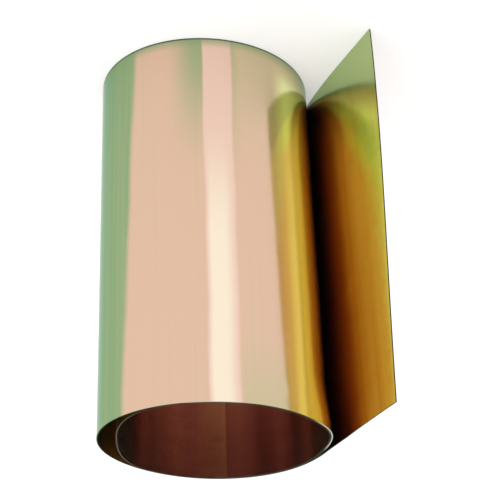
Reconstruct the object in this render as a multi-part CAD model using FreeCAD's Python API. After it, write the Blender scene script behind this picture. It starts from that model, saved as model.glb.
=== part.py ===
"""A roll of bare copper foil standing on end: one strip, wound a little over two turns, whose outer
end stands free of the roll as a leaf.  Millimetres, +Z up; the origin is on the roll's axis, in the
plane of the rim that it stands on."""
import FreeCAD, Part
import math
import os

# The strip
STRIP_WIDTH = 100.0
FOIL = 0.30
TURN_GAP = 0.15
HINGE_GAP = 0.20

# The winding.  Angles are in degrees, anticlockwise from +X seen from above.
ROLL_RADIUS = 27.7
OVAL, OVAL_AXIS = 0.048, 141.6
EGG, EGG_AXIS = 0.011, 101.2
LEAF_ROOT = 160.0
WOUND = 784.0
FULL_TURN = 360.0

# The second turn stands off the outer one along one side, which leaves a crescent between them.
CRESCENT_DEPTH = 4.1
CRESCENT_AT = 529.0
CRESCENT_HALF_SPAN = 55.0

# The free inner end
TAIL_PANELS = 4
TAIL_START = 2 * FULL_TURN

# The free outer leaf: it leaves the roll along the tangent and bends away from it.
LEAF_PANELS = 7
LEAF_PANEL_LENGTH = 5.5
LEAF_TOP_LENGTH = 36.0
LEAF_BOTTOM_LENGTH = 42.0
LEAF_TURN_OUT = 11.8

# How finely the paths are sampled, and the block that trims the leaf's end
SAMPLE_STEP = 5.0
FEWEST_SPANS = 4
HEADING_STEP = 0.5
OFFCUT_DEPTH = 11.0
OFFCUT_OVERSHOOT = 1.1


def direction(angle):
    """The unit vector at an angle round the Z axis."""
    return FreeCAD.Vector(math.cos(math.radians(angle)), math.sin(math.radians(angle)), 0)


def crescent(wound):
    """How far the strip stands in from the turn outside it."""
    away = (wound - CRESCENT_AT) / CRESCENT_HALF_SPAN
    if abs(away) >= 1:
        return 0.0
    return CRESCENT_DEPTH * math.cos(away * math.pi / 2) ** 2


def coil_point(wound, side=0.0):
    """A point of the winding, wound degrees inwards from the leaf's root; side is the distance out
    from the middle of the foil's thickness."""
    angle = LEAF_ROOT - wound
    oval = OVAL * math.cos(math.radians(2 * (angle - OVAL_AXIS)))
    egg = EGG * math.cos(math.radians(3 * (angle - EGG_AXIS)))
    middle = ROLL_RADIUS * (1 + oval + egg) - FOIL / 2
    spiral = (FOIL + TURN_GAP) * wound / FULL_TURN
    return direction(angle) * (middle - spiral - crescent(wound) + side)


def leaf_heading(along):
    """The leaf's direction, in degrees, a distance along it from its root."""
    back = coil_point(HEADING_STEP)
    ahead = coil_point(-HEADING_STEP)
    root_heading = math.degrees(math.atan2(ahead.y - back.y, ahead.x - back.x))
    return root_heading - LEAF_TURN_OUT * along / LEAF_BOTTOM_LENGTH


def leaf_point(along, side=0.0):
    """A point of the leaf, which is an arc from the end of the winding; side is the distance out."""
    bend = math.radians(LEAF_TURN_OUT) / LEAF_BOTTOM_LENGTH
    start = math.radians(leaf_heading(0))
    end = math.radians(leaf_heading(along))
    reach = FreeCAD.Vector(math.sin(start) - math.sin(end), math.cos(end) - math.cos(start), 0)
    outward = direction(leaf_heading(along) - 90)
    return coil_point(0) + reach * (1 / bend) + outward * side


def sheet(outer_points, inner_points):
    """A strip of foil standing between two lines of points in plan."""
    outer, inner = Part.BSplineCurve(), Part.BSplineCurve()
    outer.interpolate(outer_points)
    inner.interpolate(inner_points)
    edges = [
        outer.toShape(),
        Part.makeLine(outer_points[-1], inner_points[-1]),
        inner.toShape(),
        Part.makeLine(inner_points[0], outer_points[0]),
    ]
    face = Part.Face(Part.Wire(Part.__sortEdges__(edges)))
    return face.extrude(FreeCAD.Vector(0, 0, STRIP_WIDTH))


def stretch(point, start, end, step):
    """The foil along one of the two paths, from start to end."""
    count = max(FEWEST_SPANS, round((end - start) / step))
    stations = [start + (end - start) * i / count for i in range(count + 1)]
    outer_points = [point(station, FOIL / 2) for station in stations]
    inner_points = [point(station, -FOIL / 2) for station in stations]
    return sheet(outer_points, inner_points)


def tail_panel(index):
    """One panel of the inner end, clear of the fold line before it."""
    span = (WOUND - TAIL_START) / TAIL_PANELS
    start = TAIL_START + index * span
    half_gap = math.degrees(HINGE_GAP / 2 / coil_point(start).Length)
    end_gap = 0.0 if index == TAIL_PANELS - 1 else half_gap
    return stretch(coil_point, start + half_gap, start + span - end_gap, SAMPLE_STEP)


def leaf_panel(index):
    """One panel of the outer leaf, clear of the fold line before it."""
    start = index * LEAF_PANEL_LENGTH + HINGE_GAP / 2
    end = (index + 1) * LEAF_PANEL_LENGTH - HINGE_GAP / 2
    return stretch(leaf_point, start, end, SAMPLE_STEP)


def leaf_end():
    """The last panel, whose free edge is cut out of square."""
    start = (LEAF_PANELS - 1) * LEAF_PANEL_LENGTH + HINGE_GAP / 2
    panel = stretch(leaf_point, start, LEAF_BOTTOM_LENGTH, SAMPLE_STEP)
    chord = leaf_point(LEAF_BOTTOM_LENGTH) - leaf_point(start)
    ahead = chord.normalize()
    across = FreeCAD.Vector(ahead.y, -ahead.x, 0)
    up = FreeCAD.Vector(0, 0, STRIP_WIDTH)
    bottom_corner = leaf_point(LEAF_BOTTOM_LENGTH) - across * OFFCUT_DEPTH / 2
    top_corner = bottom_corner - ahead * (LEAF_BOTTOM_LENGTH - LEAF_TOP_LENGTH) + up
    beyond = bottom_corner + ahead * LEAF_PANEL_LENGTH
    outline = [bottom_corner, top_corner, beyond + up * OFFCUT_OVERSHOOT, beyond, bottom_corner]
    offcut = Part.Face(Part.makePolygon(outline)).extrude(across * OFFCUT_DEPTH)
    return panel.cut(offcut)


def build():
    """Every stretch of the strip, by name."""
    parts = {
        "outer_turn": stretch(coil_point, 0.0, FULL_TURN, SAMPLE_STEP),
        "second_turn": stretch(coil_point, FULL_TURN, TAIL_START, SAMPLE_STEP),
    }
    for index in range(TAIL_PANELS):
        parts[f"inner_tail_{index + 1}"] = tail_panel(index)
    for index in range(LEAF_PANELS - 1):
        parts[f"leaf_{index + 1}"] = leaf_panel(index)
    parts["leaf_end"] = leaf_end()
    return parts


os.makedirs("parts", exist_ok=True)
for name, shape in build().items():
    shape.exportStep(f"parts/{name}.step")
    print(f"{name}: valid {shape.isValid()}, solids {len(shape.Solids)}, {shape.Volume:.1f} mm3")
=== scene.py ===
"""The looks of a copper foil roll: one polished strip, wound into a hollow roll, whose outer end stands
free as a leaf.  Every piece is a stretch of that strip, swept from the same line as the CAD part."""

import math

import bmesh
import bpy
import numpy as np
from mathutils import Matrix, Vector


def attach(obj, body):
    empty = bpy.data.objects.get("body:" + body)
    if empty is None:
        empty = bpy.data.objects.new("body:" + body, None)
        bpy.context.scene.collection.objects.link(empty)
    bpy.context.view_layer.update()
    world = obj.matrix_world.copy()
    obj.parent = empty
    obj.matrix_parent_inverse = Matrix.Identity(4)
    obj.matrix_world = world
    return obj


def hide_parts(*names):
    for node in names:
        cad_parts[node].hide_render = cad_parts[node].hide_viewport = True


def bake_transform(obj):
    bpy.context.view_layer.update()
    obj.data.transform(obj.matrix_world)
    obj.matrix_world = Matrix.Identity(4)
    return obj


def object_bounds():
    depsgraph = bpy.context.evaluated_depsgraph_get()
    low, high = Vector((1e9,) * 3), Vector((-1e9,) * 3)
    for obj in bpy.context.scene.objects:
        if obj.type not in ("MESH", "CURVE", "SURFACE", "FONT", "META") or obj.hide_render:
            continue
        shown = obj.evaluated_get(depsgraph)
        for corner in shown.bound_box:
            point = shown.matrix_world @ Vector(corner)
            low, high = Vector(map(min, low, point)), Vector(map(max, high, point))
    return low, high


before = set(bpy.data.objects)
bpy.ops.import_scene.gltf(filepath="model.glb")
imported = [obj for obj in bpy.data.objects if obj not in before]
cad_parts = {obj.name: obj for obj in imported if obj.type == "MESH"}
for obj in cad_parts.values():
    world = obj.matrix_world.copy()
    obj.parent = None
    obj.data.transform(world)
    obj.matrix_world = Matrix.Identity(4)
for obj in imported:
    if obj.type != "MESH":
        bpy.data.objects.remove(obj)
cad_low, cad_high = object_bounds()

# The strip, in metres, as the CAD part has it.
STRIP_WIDTH = cad_high.z - cad_low.z
FOIL = 0.0003
TURN_GAP = 0.00015
ROLL_RADIUS = 0.0277
OVAL, OVAL_AXIS = 0.048, 141.6
EGG, EGG_AXIS = 0.011, 101.2
LEAF_ROOT = 160.0
WOUND = 784.0
CRESCENT_DEPTH = 0.0041
CRESCENT_AT, CRESCENT_HALF_SPAN = 529.0, 55.0
TAIL_PANELS, TAIL_START = 4, 720.0
LEAF_PANELS, LEAF_PANEL_LENGTH = 7, 0.0055
LEAF_TOP_LENGTH, LEAF_BOTTOM_LENGTH = 0.036, 0.042

# What the real foil does besides: the leaf bends away from the roll and then runs flat, with a slight
# twist, and the rim flares beside it.
LEAF_TURN_OUT, LEAF_BEND_LENGTH = 7.2, 0.0356
LEAF_TOP_STANDOFF = 0.0012
TWIST_START, TWIST_END = -0.008, 0.014
RIM_FLARE, RIM_FLARE_AT, RIM_FLARE_HALF_SPAN = 0.00095, 332.0, 28.0
RIM_FLARE_HEIGHT = 0.015
WAVE_DEPTH = 0.00003

# Small dings in the outer face: degrees of winding, height, how far they reach and how deep they are.
# Those from 229 to 287 degrees stand for the marks on the front; the others are made up.
DINGS = [
    (253.5, 0.0385, 0.0016, 0.00003), (256.0, 0.0440, 0.0014, 0.00003), (255.0, 0.0470, 0.0018, -0.00003),
    (257.5, 0.0515, 0.0012, 0.00002), (270.0, 0.0935, 0.0026, 0.00006), (278.5, 0.0950, 0.0022, -0.00005),
    (287.0, 0.0955, 0.0020, 0.00005), (229.0, 0.0700, 0.0030, 0.00002), (96.0, 0.0310, 0.0028, 0.00005),
    (61.0, 0.0720, 0.0022, 0.00004), (18.0, 0.0520, 0.0030, -0.00004), (-34.0, 0.0640, 0.0032, 0.00005),
    (-52.0, 0.0300, 0.0024, -0.00005), (-66.0, 0.0560, 0.0026, 0.00005), (118.0, 0.0840, 0.0024, 0.00005),
]
LEAF_EDGE_BOW, LEAF_BOW_SKEW = 0.0009, 0.7
EDGE_CHAMFER = 0.00004

# How finely the strip is divided, and the angle above which an edge is left sharp.
SHARP_ANGLE = math.radians(25)
TANGENT_STEP = 0.00005
LEAF_LINE_POINTS = 2000
STATION_LENGTH = 0.0009
ROW_HEIGHT = 0.001
SLIVER = 0.00004
OUTSIDE, INSIDE, EDGE = 0, 1, 2


def smoothstep(value, low, high):
    """0 below low, 1 above high, and smooth between them."""
    t = np.clip((value - low) / (high - low), 0, 1)
    return t * t * (3 - 2 * t)


def bump(value, centre, half_span):
    """1 at the centre, falling smoothly to 0 at half_span either side."""
    away = np.clip((value - centre) / half_span, -1, 1)
    return np.cos(away * math.pi / 2) ** 2


def coil_line(wound):
    """The middle of the foil in plan, wound degrees inwards from the leaf's root."""
    angle = LEAF_ROOT - wound
    oval = OVAL * np.cos(np.radians(2 * (angle - OVAL_AXIS)))
    egg = EGG * np.cos(np.radians(3 * (angle - EGG_AXIS)))
    radius = ROLL_RADIUS * (1 + oval + egg) - FOIL / 2
    radius -= (FOIL + TURN_GAP) * wound / 360
    radius -= CRESCENT_DEPTH * bump(wound, CRESCENT_AT, CRESCENT_HALF_SPAN)
    return np.stack([radius * np.cos(np.radians(angle)), radius * np.sin(np.radians(angle))], -1)


ROOT = coil_line(np.array(0.0))
ROOT_RADIUS = float(np.hypot(*ROOT))
ROOT_HEADING = math.atan2(*(coil_line(np.array(-0.5)) - coil_line(np.array(0.5)))[::-1])


def leaf_line(along):
    """The middle of the leaf in plan: it bends away from the roll near its root and then runs flat."""
    fine = np.linspace(0, 2 * LEAF_BOTTOM_LENGTH, LEAF_LINE_POINTS)
    bent = np.minimum(fine / LEAF_BEND_LENGTH, 1)
    heading = ROOT_HEADING - math.radians(LEAF_TURN_OUT) * bent * (2 - bent)
    x = ROOT[0] + np.cumsum(np.cos(heading)) * fine[1]
    y = ROOT[1] + np.cumsum(np.sin(heading)) * fine[1]
    return np.stack([np.interp(along, fine, x), np.interp(along, fine, y)], -1)


def wound_at(along):
    """Degrees of winding at a distance along the strip; the leaf is beyond 0, the roll before it."""
    return -np.degrees(along / ROOT_RADIUS)


def along_at(wound):
    return -math.radians(wound) * ROOT_RADIUS


def strip_line(along):
    """The whole strip's middle in plan, a distance along it from the leaf's root."""
    coil = coil_line(wound_at(np.minimum(along, 0)))
    return np.where((along > 0)[..., None], leaf_line(np.maximum(along, 0)), coil)


def standoff(along, height):
    """How far the real foil stands out from the plain line: twist, flare, gentle waves and small dings."""
    share = height / STRIP_WIDTH
    out = LEAF_TOP_STANDOFF * smoothstep(along, TWIST_START, TWIST_END) * share
    flare = smoothstep(height, STRIP_WIDTH - RIM_FLARE_HEIGHT, STRIP_WIDTH)
    turned = np.mod(wound_at(along), 360.0)
    out += RIM_FLARE * bump(turned, RIM_FLARE_AT, RIM_FLARE_HALF_SPAN) * flare * (along <= 0)
    for wound, high, reach, depth in DINGS:
        away = ((along - along_at(wound)) ** 2 + (height - high) ** 2) / reach ** 2
        out -= depth * np.exp(-away)
    turn = np.radians(LEAF_ROOT - wound_at(along))
    slow = np.sin(3 * turn + 2 * math.pi * share) + 0.6 * np.sin(5 * turn - 5.1 * share + 1.3)
    out += WAVE_DEPTH * slow * (1 + 2 * smoothstep(along, 0.005, 0.03))
    return out


def foil_points(along, height, side):
    """Points of the strip at arrays of distance along, height and distance out from its middle."""
    middle = strip_line(along)
    tangent = strip_line(along + TANGENT_STEP) - strip_line(along - TANGENT_STEP)
    tangent /= np.linalg.norm(tangent, axis=-1, keepdims=True)
    outward = np.stack([tangent[..., 1], -tangent[..., 0]], -1)
    plan = middle + outward * (standoff(along, height) + side)[..., None]
    return np.concatenate([plan, height[..., None]], -1)


def section():
    """The foil's cross-section, once round: (distance out, height, the face that starts here)."""
    rows = max(2, round(STRIP_WIDTH / ROW_HEIGHT))
    heights = np.linspace(EDGE_CHAMFER, STRIP_WIDTH - EDGE_CHAMFER, rows + 1)
    half, cut = FOIL / 2, FOIL / 2 - EDGE_CHAMFER
    loop = [(half, h, OUTSIDE) for h in heights[:-1]]
    loop += [(half, heights[-1], EDGE), (cut, STRIP_WIDTH, EDGE), (-cut, STRIP_WIDTH, EDGE)]
    loop += [(-half, h, INSIDE) for h in heights[:0:-1]]
    loop += [(-half, heights[0], EDGE), (-cut, 0.0, EDGE), (cut, 0.0, EDGE)]
    return loop


def stations(start, end):
    """Shares of the way along a piece, with a sliver at each end so that neighbours shade alike."""
    count = max(4, round((end - start) / STATION_LENGTH))
    sliver = SLIVER / (end - start)
    return np.array([0.0, sliver, *np.linspace(0, 1, count + 1)[1:-1], 1 - sliver, 1.0])


def foil_piece(name, start, end, free_edge=None):
    """One closed stretch of foil between two distances along the strip.  free_edge gives the far end at
    each height where it isn't square."""
    loop = section()
    sides, heights = np.array([p[0] for p in loop]), np.array([p[1] for p in loop])
    share = stations(start, end)
    far = np.full(len(loop), end) if free_edge is None else free_edge(heights)
    along = start + share[:, None] * (far - start)[None, :]
    height = np.broadcast_to(heights, along.shape)
    points = foil_points(along, height, np.broadcast_to(sides, along.shape))
    mesh = bmesh.new()
    verts = [[mesh.verts.new(p) for p in ring] for ring in points]
    size = len(loop)
    for ring, following in zip(verts[:-1], verts[1:]):
        for i, (_, _, kind) in enumerate(loop):
            face = mesh.faces.new([ring[i], following[i], following[i - size + 1], ring[i - size + 1]])
            face.material_index = kind
    rows = size // 2 - 3
    pairs = [(i, 2 * rows + 3 - i) for i in range(-1, rows + 2)]
    for ring, near in ((verts[0], True), (verts[-1], False)):
        for (a, b), (c, d) in zip(pairs[:-1], pairs[1:]):
            corners = [ring[a], ring[c], ring[d], ring[b]]
            face = mesh.faces.new(corners if near else corners[::-1])
            face.material_index = EDGE
    mesh.normal_update()
    for edge in mesh.edges:
        edge.smooth = edge.calc_face_angle(0) < SHARP_ANGLE
    for face in mesh.faces:
        face.smooth = True
    data = bpy.data.meshes.new(name)
    mesh.to_mesh(data)
    mesh.free()
    for label, values in (("wound", wound_at(along)), ("share", height / STRIP_WIDTH)):
        attribute = data.attributes.new(label, "FLOAT", "POINT")
        attribute.data.foreach_set("value", values.astype(np.float32).ravel())
    piece = bpy.data.objects.new(name, data)
    bpy.context.scene.collection.objects.link(piece)
    return piece


def plan_point(along):
    """A point half way up the strip, at a distance along it."""
    at = np.array([along])
    return tuple(foil_points(at, np.array([STRIP_WIDTH / 2]), np.zeros(1))[0])


def leaf_free_edge(height):
    """Where the leaf's cut edge is at each height: out of square, and a little bowed."""
    share = height / STRIP_WIDTH
    straight = LEAF_BOTTOM_LENGTH + (LEAF_TOP_LENGTH - LEAF_BOTTOM_LENGTH) * share
    return straight + LEAF_EDGE_BOW * np.sin(math.pi * share ** LEAF_BOW_SKEW)


# ---- materials ----

LEAF_DEGREES = math.degrees(LEAF_BOTTOM_LENGTH / ROOT_RADIUS)


class Paint:
    """The node tree of one foil material, with short names for the nodes it is made of."""

    def __init__(self, name):
        self.material = bpy.data.materials.new(name)
        self.material.use_nodes = True
        self.tree = self.material.node_tree
        self.shader = self.tree.nodes["Principled BSDF"]
        self.wound = self.attribute("wound")
        self.share = self.attribute("share")

    def add(self, kind, output, values, **settings):
        """A node with its settings and input values; a value may be another node's output."""
        node = self.tree.nodes.new(kind)
        for label, setting in settings.items():
            setattr(node, label, setting)
        for label, value in values.items():
            socket = node.inputs[label]
            if isinstance(value, bpy.types.NodeSocket):
                self.tree.links.new(value, socket)
            else:
                socket.default_value = value
        return node.outputs[output]

    def attribute(self, label):
        return self.add("ShaderNodeAttribute", "Fac", {}, attribute_name=label)

    def math(self, operation, a, b=0.0):
        return self.add("ShaderNodeMath", 0, {0: a, 1: b}, operation=operation)

    def times(self, a, b):
        return self.math("MULTIPLY", a, b)

    def ramp(self, value, low, high):
        """0 at low, 1 at high, smooth between; low may be the larger."""
        ends = {"Value": value, "From Min": low, "From Max": high}
        return self.add("ShaderNodeMapRange", 0, ends, interpolation_type="SMOOTHSTEP")

    def band(self, value, low, high, soft_low, soft_high):
        """1 between low and high, with an edge of its own softness at each."""
        rise = self.ramp(value, low - soft_low, low + soft_low)
        return self.times(rise, self.ramp(value, high + soft_high, high - soft_high))

    def mix(self, colour, other, amount):
        """The colour turned into the other by amount."""
        other = (*other, 1.0) if isinstance(other, tuple) else other
        colour = (*colour, 1.0) if isinstance(colour, tuple) else colour
        ends = {"Factor": amount, "A": colour, "B": other}
        node = self.tree.nodes.new("ShaderNodeMix")
        node.data_type = "RGBA"
        for socket in node.inputs:
            if socket.name in ends and (socket.type == "RGBA" or socket.identifier == "Factor_Float"):
                value = ends[socket.name]
                if isinstance(value, bpy.types.NodeSocket):
                    self.tree.links.new(value, socket)
                else:
                    socket.default_value = value
        return next(socket for socket in node.outputs if socket.type == "RGBA")

    def noise(self, per_degree, per_height, detail=3.0, seed=0.0):
        """Smooth noise over the strip: how many features in a degree of winding and in its height."""
        across = self.math("MULTIPLY", self.wound, per_degree)
        up = self.math("MULTIPLY", self.share, per_height)
        place = self.add("ShaderNodeCombineXYZ", 0, {"X": across, "Y": up, "Z": seed})
        return self.add("ShaderNodeTexNoise", 0, {"Vector": place, "Scale": 1.0, "Detail": detail})

    def finish(self, colour, roughness, relief):
        """The shader's inputs: a polished metal under a thin, dull film."""
        links = self.tree.links
        inputs = self.shader.inputs
        links.new(colour, inputs["Base Color"])
        links.new(roughness, inputs["Roughness"])
        links.new(relief, inputs["Normal"])
        inputs["Metallic"].default_value = 1.0
        inputs["Specular Tint"].default_value = GRAZING_TINT
        inputs["Coat Weight"].default_value = 0.12
        inputs["Coat Roughness"].default_value = 0.5
        inputs["Coat IOR"].default_value = 1.5
        return self.material

    def relief(self):
        """The mill's fine lines along the strip and its slow waves, as bump."""
        lines = self.noise(0.02, 320.0, 4.0, 3.0)
        waves = self.noise(0.05, 9.0, 2.0, 7.0)
        fine = self.add("ShaderNodeBump", 0, {"Height": lines, "Strength": 0.05, "Distance": 0.0002})
        coarse = {"Height": waves, "Strength": 0.12, "Distance": 0.0004, "Normal": fine}
        return self.add("ShaderNodeBump", 0, coarse)

    def polish(self):
        """Where the polish is duller, as roughness."""
        dull = self.noise(0.03, 60.0, 4.0, 11.0)
        smear = self.noise(0.06, 4.0, 3.0, 17.0)
        return self.math("ADD", self.times(self.math("ADD", dull, smear), 0.10), 0.05)


COPPER = (0.655, 0.445, 0.320)
# Green and teal, painted as reflections in a band up the outer face; the green also along its lower rim.
GREEN_REFLECTION = (0.245, 0.355, 0.180)
TEAL_REFLECTION = (0.200, 0.380, 0.260)
# Olive, painted as reflections beside the highlight stripe and in the green band.
OLIVE_REFLECTION = (0.33, 0.38, 0.20)
# Green, painted as a reflection in the leaf's lower corner.
CORNER_GREEN_REFLECTION = (0.46, 0.49, 0.24)
CORNER_GRAZING = (0.30, 0.74, 0.56)
# Yellow, painted on the roll beside the leaf as the leaf's reflection.
LEAF_REFLECTION_YELLOW = (1.0, 1.0, 0.50)
# Cream and pink, painted as a highlight stripe on the outer face.
CREAM_HIGHLIGHT = (0.83, 0.715, 0.555)
PINK_HIGHLIGHT = (0.74, 0.52, 0.415)
# Brass: the tone of the streaks, and painted as a reflection near both rims.
BRASS_TONE_AND_REFLECTION = (0.52, 0.455, 0.275)
# The leaf's reflections, painted: olive, gold and orange.
LEAF_GOLD_REFLECTION = (0.68, 0.47, 0.17)
LEAF_OLIVE_REFLECTION = (0.63, 0.63, 0.22)
LEAF_ORANGE_REFLECTION = (0.54, 0.25, 0.08)
# Brown, painted as shade in the fold between leaf and roll.
FOLD_SHADE = (0.30, 0.14, 0.24)
BORE_COPPER = (0.82, 0.61, 0.50)
# Gold: the tone of the streaks in the bore, and painted as a reflection band there.
BORE_GOLD_TONE_AND_REFLECTION = (1.0, 0.95, 0.62)
BORE_DARK = (0.68, 0.48, 0.43)
EDGE_DARK = (0.020, 0.020, 0.014)
EDGE_SOFT = (0.13, 0.10, 0.07)
# A highlight painted on the slit edges.
EDGE_HIGHLIGHT = (0.85, 0.80, 0.66)
GRAZING_TINT = (0.62, 0.74, 0.62, 1.0)


# Where the painted reflection and highlight bands lie on the outer face, in degrees of winding: (start,
# end).
GREEN_BAND, TEAL_BAND = (170.0, 210.2), (172.0, 190.0)
OLIVE_BEFORE, OLIVE_AFTER = (236.0, 248.0), (264.0, 266.0)
RIM_REFLECTION_START = (263.0, 266.0)
LEAF_REFLECTION_START = (288.0, 302.0)
BAND_LEAN = 7.0


def outside_material():
    """The polished outer face: copper with bands of painted reflection and a painted highlight that run up
    the roll.
    """
    paint = Paint("foil_outside")
    share, times, ramp, band, mix = paint.share, paint.times, paint.ramp, paint.band, paint.mix
    wobble = times(paint.math("SUBTRACT", paint.noise(0.0, 5.0, 3.0, 5.0), 0.5), 2.5)
    place = paint.math("ADD", paint.wound, wobble)
    streaks = paint.noise(0.35, 0.8, 3.0, 41.0)
    colour = mix(COPPER, BRASS_TONE_AND_REFLECTION, times(ramp(streaks, 0.50, 0.75), 0.35))
    # A brassy reflection painted near both rims, and the leaf's yellow reflection painted on the roll
    # beside it.
    near_rims = paint.math("MAXIMUM", ramp(share, 0.42, 0.0), ramp(share, 0.80, 1.0))
    rim_reflection = times(near_rims, ramp(place, *RIM_REFLECTION_START))
    colour = mix(colour, BRASS_TONE_AND_REFLECTION, times(rim_reflection, 0.75))
    beside_leaf = times(ramp(place, *LEAF_REFLECTION_START), ramp(share, 0.02, 0.11))
    colour = mix(colour, LEAF_REFLECTION_YELLOW, times(beside_leaf, 0.95))
    # Olive reflections painted on each side of the highlight stripe, fading with height.
    before = times(band(place, *OLIVE_BEFORE, 9.0, 0.8), ramp(share, 0.42, 0.02))
    colour = mix(colour, OLIVE_REFLECTION, before)
    after = times(band(place, *OLIVE_AFTER, 0.8, 4.0), ramp(share, 0.50, 0.02))
    colour = mix(colour, OLIVE_REFLECTION, times(after, 0.6))
    # A painted highlight stripe in pink, and its bright cream core that grows with height.
    highlight_stripe = times(ramp(place, 247.2, 248.8), ramp(place, 264.6, 262.6))
    colour = mix(colour, PINK_HIGHLIGHT, highlight_stripe)
    core = times(ramp(place, 247.8, 251.0), ramp(place, 264.0, 257.0))
    colour = mix(colour, CREAM_HIGHLIGHT, times(core, ramp(share, 0.22, 0.60)))
    # A green reflection is painted in a band that leans across the roll and turns teal in its middle.
    lean = paint.math("ADD", place, times(share, BAND_LEAN))
    green = mix(GREEN_REFLECTION, OLIVE_REFLECTION, times(ramp(streaks, 0.42, 0.62), 0.5))
    colour = mix(colour, green, band(lean, *GREEN_BAND, 9.0, 2.2))
    colour = mix(colour, TEAL_REFLECTION, times(band(lean, *TEAL_BAND, 6.0, 10.0), 0.6))
    # A green reflection painted along the lower rim, and a dark line at the lower rim.
    colour = mix(colour, GREEN_REFLECTION, times(ramp(share, 0.035, 0.0), 0.8))
    colour = mix(colour, EDGE_DARK, times(ramp(share, 0.006, 0.003), 0.8))
    return paint.finish(colour, paint.polish(), paint.relief())


def bore_colour(paint, streaks):
    """Copper in the bore, with golden streaks, a golden reflection painted in a band, and dark stretches.
    """
    wound, times, ramp, mix = paint.wound, paint.times, paint.ramp, paint.mix
    colour = mix(BORE_COPPER, BORE_GOLD_TONE_AND_REFLECTION, times(ramp(streaks, 0.42, 0.70), 0.5))
    # A golden reflection painted in a band.
    colour = mix(colour, BORE_GOLD_TONE_AND_REFLECTION, paint.band(wound, 422.0, 438.0, 2.0, 4.0))
    colour = mix(colour, BORE_DARK, ramp(wound, 462.0, 484.0))
    return mix(colour, BORE_DARK, times(ramp(wound, 690.0, 700.0), ramp(wound, WOUND, 742.0)))


def leaf_colour(paint, streaks):
    """Painted reflections along the leaf: olive at its free edge, then gold and orange, and painted shade
    in the fold.
    """
    wound, share, times, ramp, mix = paint.wound, paint.share, paint.times, paint.ramp, paint.mix
    lowered = times(ramp(share, 0.22, 0.08), -34.0)
    raised = paint.math("ADD", times(ramp(share, 0.25, 0.50), 16.0), lowered)
    # Reflections painted along the leaf.
    colour = mix(LEAF_OLIVE_REFLECTION, LEAF_GOLD_REFLECTION, ramp(paint.math("ADD", wound, raised), -72.0, -52.0))
    colour = mix(colour, LEAF_ORANGE_REFLECTION, ramp(wound, -50.0, -28.0))
    # Shade painted in the fold.
    colour = mix(colour, FOLD_SHADE, ramp(wound, -30.0, -8.0))
    return mix(colour, LEAF_ORANGE_REFLECTION, times(ramp(streaks, 0.50, 0.72), 0.45))


def leaf_corner(paint):
    """1 in the leaf's lower corner, where a green reflection is painted; the corner's top edge rises away
    from the root.
    """
    reach = paint.math("MAXIMUM", paint.times(paint.wound, -1 / LEAF_DEGREES), 0.0)
    corner_top = paint.times(paint.math("POWER", reach, 1.25), 0.172)
    above = paint.math("SUBTRACT", paint.share, corner_top)
    return paint.times(paint.ramp(above, 0.010, -0.014), paint.ramp(paint.wound, -2.0, -26.0))


def inside_material():
    """The inner face: copper in the bore and gold along the leaf, with reflections painted on both and
    shade painted in the fold.
    """
    paint = Paint("foil_inside")
    streaks = paint.noise(0.16, 0.6, 3.0, 43.0)
    on_leaf = paint.ramp(paint.wound, 8.0, -2.0)
    colour = paint.mix(bore_colour(paint, streaks), leaf_colour(paint, streaks), on_leaf)
    green = leaf_corner(paint)
    # The green reflection painted in the leaf's lower corner.
    colour = paint.mix(colour, CORNER_GREEN_REFLECTION, paint.times(green, 0.88))
    grazing = paint.mix(GRAZING_TINT[:3], CORNER_GRAZING, green)
    paint.tree.links.new(grazing, paint.shader.inputs["Specular Tint"])
    return paint.finish(colour, paint.polish(), paint.relief())


def edge_material():
    """The slit edges of the strip: dull and dark, with a highlight painted at the upper rim beside the
    leaf and, fainter, at the front.
    """
    paint = Paint("foil_edge")
    nicks = paint.noise(2.0, 40.0, 3.0, 31.0)
    # A highlight painted on the upper rim beside the leaf, and fainter at the front.
    beside_leaf = paint.band(paint.wound, 314.0, 354.0, 6.0, 4.0)
    front = paint.times(paint.band(paint.wound, 238.0, 266.0, 6.0, 6.0), 0.35)
    upper_rim = paint.ramp(paint.share, 0.4, 0.6)
    bright = paint.times(paint.math("MAXIMUM", beside_leaf, front), upper_rim)
    inner_turn = paint.band(paint.wound, 486.0, 566.0, 10.0, 8.0)
    colour = paint.mix(paint.mix(EDGE_DARK, EDGE_SOFT, inner_turn), EDGE_HIGHLIGHT, bright)
    roughness = paint.math("ADD", paint.times(nicks, 0.2), 0.25)
    return paint.finish(colour, roughness, paint.relief())


materials = [outside_material(), inside_material(), edge_material()]


def dress(piece, node):
    for material in materials:
        piece.data.materials.append(material)
    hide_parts(node)


# ---- the strip, piece by piece ----

half_panel = LEAF_PANEL_LENGTH / 2
tail_span = (WOUND - TAIL_START) / TAIL_PANELS
tail_cut = along_at(TAIL_START - tail_span / 2)

outer = foil_piece("outer_turn_foil", along_at(360.0), -half_panel)
dress(outer, "outer_turn")
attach(outer, "roll")
second = foil_piece("second_turn_foil", tail_cut, along_at(360.0))
dress(second, "second_turn")
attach(second, "roll")

leaf_bodies = ["roll"] + [f"leaf_{i + 1}" for i in range(LEAF_PANELS - 1)] + ["leaf_end"]
for i in range(LEAF_PANELS):
    fold = i * LEAF_PANEL_LENGTH
    last = i == LEAF_PANELS - 1
    end = LEAF_TOP_LENGTH if last else fold + half_panel
    free_edge = leaf_free_edge if last else None
    piece = foil_piece(f"{leaf_bodies[i + 1]}_foil", fold - half_panel, end, free_edge)
    dress(piece, leaf_bodies[i + 1])
    plan_point(fold - half_panel)
    plan_point(fold + half_panel)
    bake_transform(piece)

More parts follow.
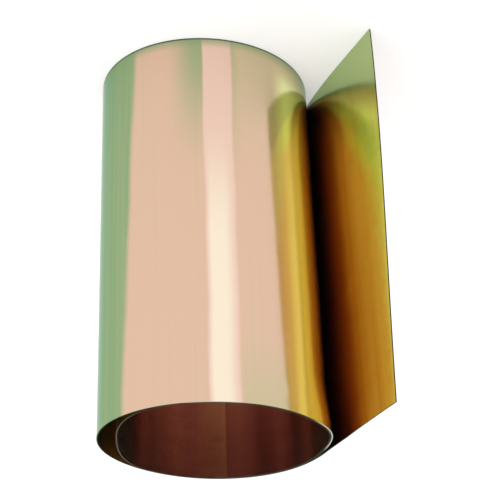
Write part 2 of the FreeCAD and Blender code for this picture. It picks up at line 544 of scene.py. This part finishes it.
tail_bodies = ["roll"] + [f"inner_tail_{i + 1}" for i in range(TAIL_PANELS)]
for i in range(TAIL_PANELS):
    fold = TAIL_START + i * tail_span
    far = WOUND if i == TAIL_PANELS - 1 else fold + tail_span / 2
    near = fold - tail_span / 2
    piece = foil_piece(f"{tail_bodies[i + 1]}_foil", along_at(far), along_at(near))
    dress(piece, tail_bodies[i + 1])
    plan_point(along_at(near))
    plan_point(along_at(fold + tail_span / 2))
    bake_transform(piece)

# ---- camera, floor and light ----

CAMERA_PLACE = (0.0, -0.2990, 0.2070)
CAMERA_FORWARD = Vector((-0.0301, 0.8824, -0.4696))
CAMERA_RIGHT = Vector((-0.9992, -0.0146, 0.0367))
LENS = 94.3

camera_data = bpy.data.cameras.new("camera")
camera_data.lens, camera_data.sensor_width = LENS, 36.0
camera = bpy.data.objects.new("camera", camera_data)
camera_up = CAMERA_RIGHT.cross(CAMERA_FORWARD)
axes = Matrix((CAMERA_RIGHT, camera_up, -CAMERA_FORWARD)).transposed()
camera.matrix_world = Matrix.Translation(CAMERA_PLACE) @ axes.to_4x4()
camera_data.clip_start, camera_data.clip_end = 0.01, 50.0
bpy.context.scene.collection.objects.link(camera)
bpy.context.scene.camera = camera

FLOOR_SIZE = 12.0
FLOOR_GREY = 0.62
GLOW_NEAR, GLOW_FAR = 0.35, 2.5
GLOW_NEAR_STRENGTH, GLOW_FAR_STRENGTH = 0.40, 0.12
WORLD_STRENGTH = 0.85
LAMP_PLACE, LAMP_SIZE, LAMP_POWER = (0.2, -0.2, 1.6), 1.4, 12.0


def floor_paper():
    """White paper that glows a little, less with distance from the roll."""
    material = bpy.data.materials.new("floor_paper")
    material.use_nodes = True
    tree = material.node_tree
    shader = tree.nodes["Principled BSDF"]
    shader.inputs["Base Color"].default_value = (FLOOR_GREY, FLOOR_GREY, FLOOR_GREY, 1)
    shader.inputs["Roughness"].default_value = 0.9
    shader.inputs["Emission Color"].default_value = (1, 1, 1, 1)
    place = tree.nodes.new("ShaderNodeTexCoord")
    distance = tree.nodes.new("ShaderNodeVectorMath")
    distance.operation = "LENGTH"
    glow = tree.nodes.new("ShaderNodeMapRange")
    glow.inputs["From Min"].default_value = GLOW_NEAR
    glow.inputs["From Max"].default_value = GLOW_FAR
    glow.inputs["To Min"].default_value = GLOW_NEAR_STRENGTH
    glow.inputs["To Max"].default_value = GLOW_FAR_STRENGTH
    tree.links.new(place.outputs["Object"], distance.inputs[0])
    tree.links.new(distance.outputs["Value"], glow.inputs["Value"])
    tree.links.new(glow.outputs[0], shader.inputs["Emission Strength"])
    return material


floor_mesh = bmesh.new()
bmesh.ops.create_grid(floor_mesh, x_segments=1, y_segments=1, size=FLOOR_SIZE / 2)
floor_data = bpy.data.meshes.new("floor")
floor_mesh.to_mesh(floor_data)
floor_mesh.free()
floor_data.materials.append(floor_paper())
floor = bpy.data.objects.new("floor", floor_data)
bpy.context.scene.collection.objects.link(floor)

world = bpy.data.worlds.new("studio")
world.use_nodes = True
background = world.node_tree.nodes["Background"]
background.inputs["Color"].default_value = (1, 1, 1, 1)
background.inputs["Strength"].default_value = WORLD_STRENGTH
bpy.context.scene.world = world

light = bpy.data.lights.new("overhead", "AREA")
light.shape = "DISK"
light.size = LAMP_SIZE
light.energy = LAMP_POWER
lamp = bpy.data.objects.new("overhead", light)
lamp.location = LAMP_PLACE
lamp.rotation_mode = "QUATERNION"
lamp.rotation_quaternion = (Vector((0, 0, STRIP_WIDTH / 2)) - lamp.location).to_track_quat("-Z", "Y")
bpy.context.scene.collection.objects.link(lamp)

bpy.context.scene.view_settings.view_transform = "Standard"
# The fold between leaf and roll is lit only by many reflections.
bpy.context.scene.cycles.max_bounces = 24
bpy.context.scene.cycles.glossy_bounces = 24
bpy.context.scene.cycles.diffuse_bounces = 6
